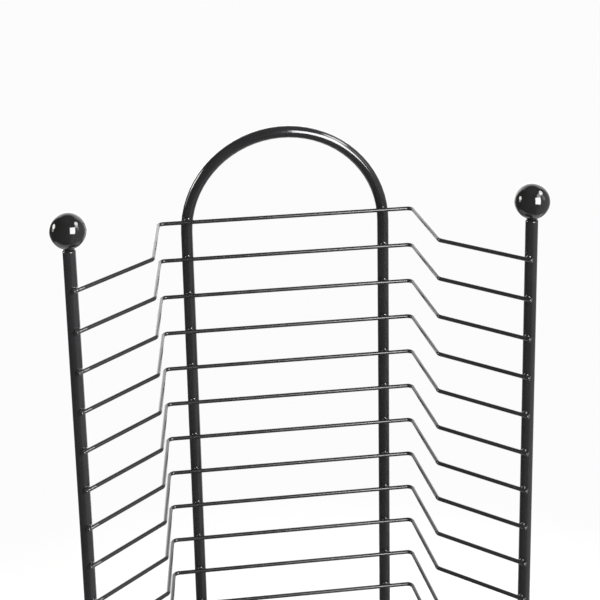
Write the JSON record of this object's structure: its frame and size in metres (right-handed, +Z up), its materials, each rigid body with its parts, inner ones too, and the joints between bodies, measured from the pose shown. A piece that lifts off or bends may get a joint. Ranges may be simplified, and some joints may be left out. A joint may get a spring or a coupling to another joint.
{
  "type": "rotating display rack",
  "caption": "Rotating wire rack for media cases: two ball-topped posts and an arched rear rod hold a ladder of bent wires on a ball-bearing turntable and round base.",
  "frame": {"origin": "where the turntable's axis meets the floor, at the bottom of the feet", "axes": "+Z up along the turntable's axis, -Y towards the front where the cases go in, +X to the right seen from the front"},
  "size_m": [0.248, 0.248, 0.5301],
  "materials": {
    "frame_enamel": "gloss black enamel on 6 mm steel rod",
    "wire_enamel": "gloss black enamel on 2 mm steel wire",
    "finial_black": "polished black moulded ball",
    "base_powder_coat": "satin black powder coat",
    "zinc_steel": "bright zinc plate",
    "bearing_steel": "ground and polished steel",
    "nylon": "natural nylon",
    "cap_plastic": "black polyethylene",
    "foot_rubber": "moulded rubber"
  },
  "bodies": {
    "base": {"base_plate": "base_powder_coat", "rubber_feet": "foot_rubber", "foot_screws": "zinc_steel", "lower_race": "zinc_steel", "lower_race_screws": "zinc_steel", "pivot_bolt": "zinc_steel", "pivot_jam_nut": "zinc_steel", "pivot_washer": "zinc_steel", "pivot_cap": "cap_plastic"},
    "bearing_cage": {"ball_cage": "nylon", "bearing_balls": "bearing_steel"},
    "rack": {"turntable_plate": "base_powder_coat", "upper_race": "zinc_steel", "upper_race_screws": "zinc_steel", "pivot_bushing": "nylon", "rear_arch": "frame_enamel", "front_post_left": "frame_enamel", "front_post_right": "frame_enamel", "finial_left": "finial_black", "finial_right": "finial_black", "finial_stud_left": "zinc_steel", "finial_stud_right": "zinc_steel", "frame_collars": "frame_enamel", "frame_washers": "zinc_steel", "frame_nuts": "zinc_steel", "shelf_wire_01": "wire_enamel", "shelf_wire_02": "wire_enamel", "shelf_wire_03": "wire_enamel", "shelf_wire_04": "wire_enamel", "shelf_wire_05": "wire_enamel", "shelf_wire_06": "wire_enamel", "shelf_wire_07": "wire_enamel", "shelf_wire_08": "wire_enamel", "shelf_wire_09": "wire_enamel", "shelf_wire_10": "wire_enamel", "shelf_wire_11": "wire_enamel", "shelf_wire_12": "wire_enamel", "shelf_wire_13": "wire_enamel", "shelf_wire_14": "wire_enamel", "shelf_wire_15": "wire_enamel", "shelf_wire_16": "wire_enamel", "shelf_wire_17": "wire_enamel", "shelf_wire_18": "wire_enamel", "shelf_wire_19": "wire_enamel", "shelf_wire_20": "wire_enamel", "shelf_wire_21": "wire_enamel", "shelf_wire_22": "wire_enamel", "shelf_wire_23": "wire_enamel", "shelf_wire_24": "wire_enamel"}
  },
  "joints": [
    {"name": "rack_spin", "type": "hinge", "parent": "base", "child": "rack", "pos_m": [0, 0, 0.0191], "axis": [0, 0, 1], "continuous": true},
    {"name": "cage_spin", "type": "hinge", "parent": "base", "child": "bearing_cage", "pos_m": [0, 0, 0.01355], "axis": [0, 0, 1], "continuous": true}
  ],
  "couplings": [
    {"joint": "cage_spin", "follows": "rack_spin", "ratio": 0.5}
  ]
}
